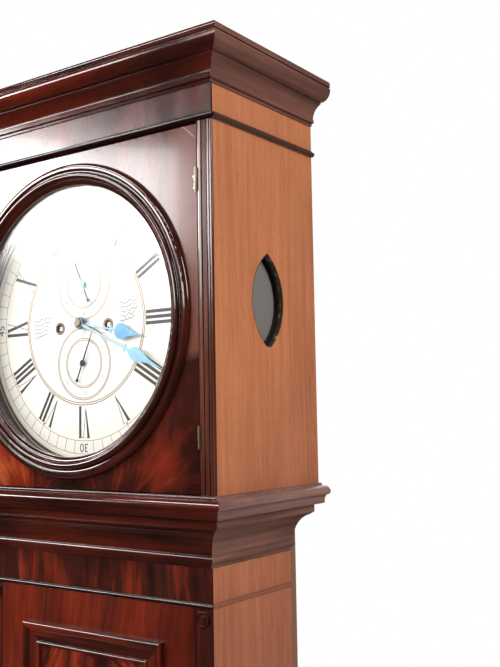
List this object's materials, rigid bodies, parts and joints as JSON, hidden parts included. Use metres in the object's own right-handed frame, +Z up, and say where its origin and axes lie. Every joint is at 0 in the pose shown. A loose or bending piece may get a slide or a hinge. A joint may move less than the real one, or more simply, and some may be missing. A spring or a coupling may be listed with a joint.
{
  "type": "grandfather clock",
  "caption": "Tall floor-standing clock: wooden case with flat-topped hood, round painted dial behind a hinged glazed door, pendulum and two falling weights.",
  "frame": {"origin": "on the floor, under the middle of the clock's width and depth", "axes": "+Z up, the dial faces -Y, +X to the viewer's right"},
  "size_m": [0.5024, 0.2385, 2.06],
  "materials": {
    "polished_mahogany": "french polished, flame figured",
    "plain_mahogany": "satin, straight grained",
    "pine": "bare",
    "glass": "clear",
    "painted_dial": "gloss enamel paint",
    "brass": "polished",
    "blued_steel": "heat blued",
    "steel": "satin",
    "gut": "satin"
  },
  "bodies": {
    "case": {"backboard": "pine", "trunk_sides": "plain_mahogany", "trunk_front_frame": "polished_mahogany", "trunk_frieze": "polished_mahogany", "throat_moulding": "polished_mahogany", "base_moulding": "polished_mahogany", "base_front": "polished_mahogany", "base_sides": "plain_mahogany", "base_floor": "pine", "base_panel_moulding": "polished_mahogany", "skirting": "polished_mahogany", "foot_blocks": "pine", "trunk_hinge_leaves": "brass", "dial": "painted_dial", "winding_hole_collets": "brass", "dial_surround": "pine", "dial_feet": "steel", "seatboard": "pine", "movement_plates": "brass", "plate_pillars": "brass", "back_cock": "brass", "bell": "brass", "bell_stand": "steel", "going_line": "gut", "strike_line": "gut"},
    "hood": {"hood_sides": "plain_mahogany", "hood_side_glasses": "glass", "hood_front_frame": "polished_mahogany", "hood_frieze": "polished_mahogany", "hood_top": "pine", "cornice": "polished_mahogany", "hood_base_moulding": "polished_mahogany", "hood_hinge_leaves": "brass"},
    "hood_door": {"hood_door_frame": "polished_mahogany", "dial_ring_moulding": "polished_mahogany", "hood_door_glass": "glass", "glass_bead": "polished_mahogany", "hood_door_hinges": "brass"},
    "trunk_door": {"trunk_door_board": "polished_mahogany", "trunk_door_moulding": "polished_mahogany", "trunk_door_escutcheon": "brass", "trunk_door_hinges": "brass"},
    "minute_arbor": {"centre_arbor": "brass", "minute_hand": "blued_steel"},
    "hour_pipe": {"hour_wheel": "brass", "hour_hand": "blued_steel"},
    "reverse_wheel": {"reverse_wheel": "brass"},
    "great_wheel": {"great_wheel": "brass"},
    "third_wheel": {"third_wheel": "brass"},
    "escape_wheel": {"escape_wheel": "brass", "seconds_hand": "blued_steel"},
    "date_hand": {"date_hand": "blued_steel"},
    "pendulum": {"pendulum_rod": "steel", "pendulum_bob": "brass", "pallets_and_crutch": "steel"},
    "hammer": {"hammer": "steel"},
    "going_weight": {"going_weight": "brass"},
    "going_barrel": {"going_barrel": "brass"},
    "strike_weight": {"strike_weight": "brass"},
    "strike_barrel": {"strike_barrel": "brass"}
  },
  "joints": [
    {"name": "hood_slide", "type": "slide", "parent": "case", "child": "hood", "axis": [0, -1, 0], "range_m": [0, 0.26]},
    {"name": "hood_door_hinge", "type": "hinge", "parent": "hood", "child": "hood_door", "pos_m": [0.2007, -0.0902, 1.76], "axis": [0, 0, 1], "range_deg": [0, 110]},
    {"name": "trunk_door_hinge", "type": "hinge", "parent": "case", "child": "trunk_door", "pos_m": [0.1604, -0.0532, 1.06], "axis": [0, 0, 1], "range_deg": [0, 100]},
    {"name": "minute_hand_turn", "type": "hinge", "parent": "case", "child": "minute_arbor", "pos_m": [0, -0.03, 1.758], "axis": [0, 1, 0], "continuous": true},
    {"name": "hour_hand_turn", "type": "hinge", "parent": "case", "child": "hour_pipe", "pos_m": [0, -0.05, 1.758], "axis": [0, 1, 0], "continuous": true},
    {"name": "reverse_wheel_turn", "type": "hinge", "parent": "case", "child": "reverse_wheel", "pos_m": [-0.01697, -0.042, 1.74103], "axis": [0, 1, 0], "continuous": true},
    {"name": "great_wheel_turn", "type": "hinge", "parent": "case", "child": "great_wheel", "pos_m": [0.0413, 0.006, 1.754], "axis": [0, 1, 0], "continuous": true},
    {"name": "third_wheel_turn", "type": "hinge", "parent": "case", "child": "third_wheel", "pos_m": [0.00991, 0, 1.78333], "axis": [0, 1, 0], "continuous": true},
    {"name": "escape_wheel_turn", "type": "hinge", "parent": "case", "child": "escape_wheel", "pos_m": [0, 0, 1.8065], "axis": [0, 1, 0], "continuous": true},
    {"name": "date_hand_turn", "type": "hinge", "parent": "case", "child": "date_hand", "pos_m": [0, -0.05, 1.709], "axis": [0, 1, 0], "continuous": true},
    {"name": "pendulum_swing", "type": "hinge", "parent": "case", "child": "pendulum", "pos_m": [0, 0.038, 1.8305], "axis": [0, 1, 0], "range_deg": [-3, 3]},
    {"name": "hammer_lift", "type": "hinge", "parent": "case", "child": "hammer", "pos_m": [-0.042, 0, 1.828], "axis": [0, 1, 0], "range_deg": [-15, 0]},
    {"name": "going_weight_fall", "type": "slide", "parent": "case", "child": "going_weight", "axis": [0, 0, 1], "range_m": [0, 1.08], "deforming": ["going_line"]},
    {"name": "going_barrel_turn", "type": "hinge", "parent": "case", "child": "going_barrel", "pos_m": [0.0413, 0, 1.754], "axis": [0, 1, 0], "range_deg": [-10, 5800]},
    {"name": "strike_weight_fall", "type": "slide", "parent": "case", "child": "strike_weight", "axis": [0, 0, 1], "range_m": [0, 1.08], "deforming": ["strike_line"]},
    {"name": "strike_barrel_turn", "type": "hinge", "parent": "case", "child": "strike_barrel", "pos_m": [-0.0413, 0, 1.754], "axis": [0, 1, 0], "range_deg": [-10, 5800]}
  ],
  "couplings": [
    {"joint": "hour_hand_turn", "follows": "minute_hand_turn", "ratio": 0.083333},
    {"joint": "reverse_wheel_turn", "follows": "minute_hand_turn", "ratio": -1},
    {"joint": "great_wheel_turn", "follows": "minute_hand_turn", "ratio": -0.083333},
    {"joint": "third_wheel_turn", "follows": "minute_hand_turn", "ratio": -7.5},
    {"joint": "escape_wheel_turn", "follows": "minute_hand_turn", "ratio": 60},
    {"joint": "date_hand_turn", "follows": "minute_hand_turn", "ratio": 0.0013441},
    {"joint": "going_barrel_turn", "follows": "going_weight_fall", "rad_per_m": 90.909},
    {"joint": "strike_barrel_turn", "follows": "strike_weight_fall", "rad_per_m": 90.909}
  ]
}
